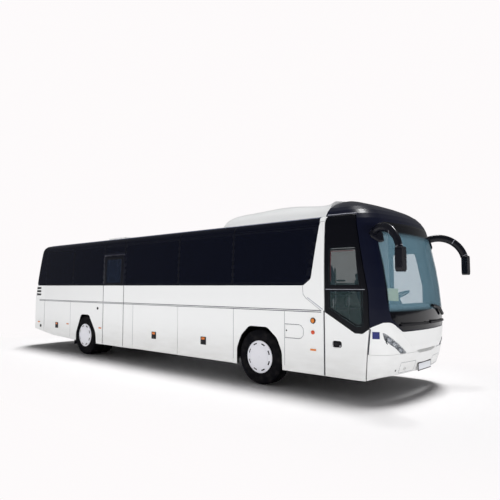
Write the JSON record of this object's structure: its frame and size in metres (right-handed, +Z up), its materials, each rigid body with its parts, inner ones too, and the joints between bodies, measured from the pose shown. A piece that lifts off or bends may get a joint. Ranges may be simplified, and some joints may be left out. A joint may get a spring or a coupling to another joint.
{
  "type": "coach bus",
  "caption": "Long two-axle coach bus with a domed front, dark glass band, two side doors, luggage flaps and steered, rolling wheels.",
  "frame": {"origin": "centre of the bounding box's base, on the ground", "axes": "+X forward, +Y to the left, +Z up"},
  "size_m": [12.16, 3.08, 3.3586],
  "materials": {
    "white_paint": "gloss white coach paint",
    "black_paint": "gloss black paint",
    "tinted_glass": "green tinted safety glass",
    "dark_glass": "privacy glass, nearly black",
    "lamp_clear": "clear lamp cover",
    "lamp_red": "red lamp lens",
    "lamp_amber": "amber lamp lens",
    "black_plastic": "grained black plastic",
    "grey_plastic": "grained dark grey plastic",
    "seat_fabric": "woven blue-grey seat cloth",
    "floor_vinyl": "grey vinyl floor",
    "grey_sheet": "grey painted sheet",
    "arch_black": "black wheel housing",
    "dark_steel": "black painted steel",
    "cast_metal": "cast engine block",
    "rubber": "black rubber bellows",
    "tyre": "black tyre rubber",
    "wheel_paint": "white wheel cover"
  },
  "bodies": {
    "coach": {"air_springs": "rubber", "aircon_unit": "white_paint", "cabin_floor": "floor_vinyl", "chassis_frame": "dark_steel", "dashboard": "grey_plastic", "driver_seat": "seat_fabric", "engine_block": "cast_metal", "front_axle": "dark_steel", "front_bumper": "white_paint", "front_mask": "black_paint", "front_panel": "white_paint", "headlamps": "lamp_clear", "luggage_hold": "grey_sheet", "mirrors": "black_plastic", "passenger_seats": "seat_fabric", "rear_axle": "dark_steel", "rear_bumper": "white_paint", "rear_wall": "white_paint", "rear_window": "dark_glass", "roof": "white_paint", "side_glass": "dark_glass", "side_lamps": "lamp_amber", "side_wall_left": "white_paint", "side_wall_right": "white_paint", "skirt_left": "white_paint", "skirt_right": "white_paint", "tail_lamps": "lamp_red", "wheel_arches": "arch_black", "windscreen": "tinted_glass", "wipers": "black_plastic"},
    "knuckle_left": {"knuckle_left": "dark_steel"},
    "knuckle_right": {"knuckle_right": "dark_steel"},
    "tie_rod": {"tie_rod": "dark_steel"},
    "steering_wheel": {"steering_wheel": "black_plastic"},
    "front_door_arm": {"front_door_arm": "dark_steel"},
    "front_door": {"front_door": "white_paint", "front_door_glass": "tinted_glass"},
    "mid_door_arm": {"mid_door_arm": "dark_steel"},
    "mid_door": {"mid_door": "white_paint", "mid_door_glass": "dark_glass"},
    "fuel_flap": {"fuel_flap": "white_paint"},
    "engine_hatch": {"engine_hatch": "white_paint"},
    "roof_hatch": {"roof_hatch": "white_paint"},
    "wheel_front_left": {"wheel_front_left": "wheel_paint", "tyre_front_left": "tyre"},
    "wheel_front_right": {"wheel_front_right": "wheel_paint", "tyre_front_right": "tyre"},
    "wheel_rear_left": {"wheel_rear_left": "wheel_paint", "tyre_rear_left": "tyre"},
    "wheel_rear_right": {"wheel_rear_right": "wheel_paint", "tyre_rear_right": "tyre"},
    "luggage_flap_rear_left": {"luggage_flap_rear_left": "white_paint"},
    "luggage_flap_front_left": {"luggage_flap_front_left": "white_paint"},
    "service_flap_left": {"service_flap_left": "white_paint"},
    "luggage_flap_rear_right": {"luggage_flap_rear_right": "white_paint"},
    "luggage_flap_front_right": {"luggage_flap_front_right": "white_paint"},
    "service_flap_right": {"service_flap_right": "white_paint"}
  },
  "joints": [
    {"name": "steer_left", "type": "hinge", "parent": "coach", "child": "knuckle_left", "pos_m": [3.16, 0.88, 0.505], "axis": [0, 0, 1], "range_deg": [-40, 40]},
    {"name": "steer_right", "type": "hinge", "parent": "coach", "child": "knuckle_right", "pos_m": [3.16, -0.88, 0.505], "axis": [0, 0, 1], "range_deg": [-40, 40]},
    {"name": "tie_rod_turn", "type": "hinge", "parent": "knuckle_left", "child": "tie_rod", "pos_m": [2.96, 0.88, 0.4], "axis": [0, 0, 1], "range_deg": [-40, 40]},
    {"name": "steering_wheel_turn", "type": "hinge", "parent": "coach", "child": "steering_wheel", "pos_m": [5.02, 0.63, 1.62], "axis": [-0.4226, 0, 0.9063], "range_deg": [-720, 720]},
    {"name": "roll_front_left", "type": "hinge", "parent": "knuckle_left", "child": "wheel_front_left", "pos_m": [3.16, 1.1025, 0.505], "axis": [0, 1, 0], "continuous": true},
    {"name": "roll_front_right", "type": "hinge", "parent": "knuckle_right", "child": "wheel_front_right", "pos_m": [3.16, -1.1025, 0.505], "axis": [0, 1, 0], "continuous": true},
    {"name": "roll_rear_left", "type": "hinge", "parent": "coach", "child": "wheel_rear_left", "pos_m": [-2.915, 0.94, 0.505], "axis": [0, 1, 0], "continuous": true},
    {"name": "roll_rear_right", "type": "hinge", "parent": "coach", "child": "wheel_rear_right", "pos_m": [-2.915, -0.94, 0.505], "axis": [0, 1, 0], "continuous": true},
    {"name": "front_door_swing", "type": "hinge", "parent": "coach", "child": "front_door_arm", "pos_m": [5.2, -1.12, 1], "axis": [0, 0, 1], "range_deg": [0, 125]},
    {"name": "front_door_leaf", "type": "hinge", "parent": "front_door_arm", "child": "front_door", "pos_m": [4.655, -1.12, 1], "axis": [0, 0, 1], "range_deg": [-125, 0]},
    {"name": "mid_door_swing", "type": "hinge", "parent": "coach", "child": "mid_door_arm", "pos_m": [-1.87, -1.12, 1], "axis": [0, 0, -1], "range_deg": [0, 125]},
    {"name": "mid_door_leaf", "type": "hinge", "parent": "mid_door_arm", "child": "mid_door", "pos_m": [-1.22, -1.12, 1], "axis": [0, 0, -1], "range_deg": [-125, 0]},
    {"name": "fuel_flap_swing", "type": "hinge", "parent": "coach", "child": "fuel_flap", "pos_m": [4.162, -1.276, 1.0225], "axis": [0, 0, 1], "range_deg": [0, 95]},
    {"name": "engine_hatch_lift", "type": "hinge", "parent": "coach", "child": "engine_hatch", "pos_m": [-6.03, 0, 1.717], "axis": [0, 1, 0], "range_deg": [0, 80]},
    {"name": "roof_hatch_tilt", "type": "hinge", "parent": "coach", "child": "roof_hatch", "pos_m": [-2.442, 0, 3.137], "axis": [0, 1, 0], "range_deg": [0, 30]},
    {"name": "luggage_flap_rear_left_lift", "type": "hinge", "parent": "coach", "child": "luggage_flap_rear_left", "pos_m": [0.055, 1.275, 1.3805], "axis": [1, 0, 0], "range_deg": [0, 85]},
    {"name": "luggage_flap_front_left_lift", "type": "hinge", "parent": "coach", "child": "luggage_flap_front_left", "pos_m": [1.695, 1.275, 1.3805], "axis": [1, 0, 0], "range_deg": [0, 85]},
    {"name": "service_flap_left_lift", "type": "hinge", "parent": "coach", "child": "service_flap_left", "pos_m": [-4.4225, 1.275, 1.3805], "axis": [1, 0, 0], "range_deg": [0, 85]},
    {"name": "luggage_flap_rear_right_lift", "type": "hinge", "parent": "coach", "child": "luggage_flap_rear_right", "pos_m": [0.055, -1.275, 1.3805], "axis": [-1, 0, 0], "range_deg": [0, 85]},
    {"name": "luggage_flap_front_right_lift", "type": "hinge", "parent": "coach", "child": "luggage_flap_front_right", "pos_m": [1.695, -1.275, 1.3805], "axis": [-1, 0, 0], "range_deg": [0, 85]},
    {"name": "service_flap_right_lift", "type": "hinge", "parent": "coach", "child": "service_flap_right", "pos_m": [-4.4225, -1.275, 1.3805], "axis": [-1, 0, 0], "range_deg": [0, 85]}
  ],
  "couplings": [
    {"joint": "steer_right", "follows": "steer_left", "ratio": 1},
    {"joint": "tie_rod_turn", "follows": "steer_left", "ratio": -1},
    {"joint": "steering_wheel_turn", "follows": "steer_left", "ratio": 18},
    {"joint": "front_door_leaf", "follows": "front_door_swing", "ratio": -1},
    {"joint": "mid_door_leaf", "follows": "mid_door_swing", "ratio": -1}
  ]
}
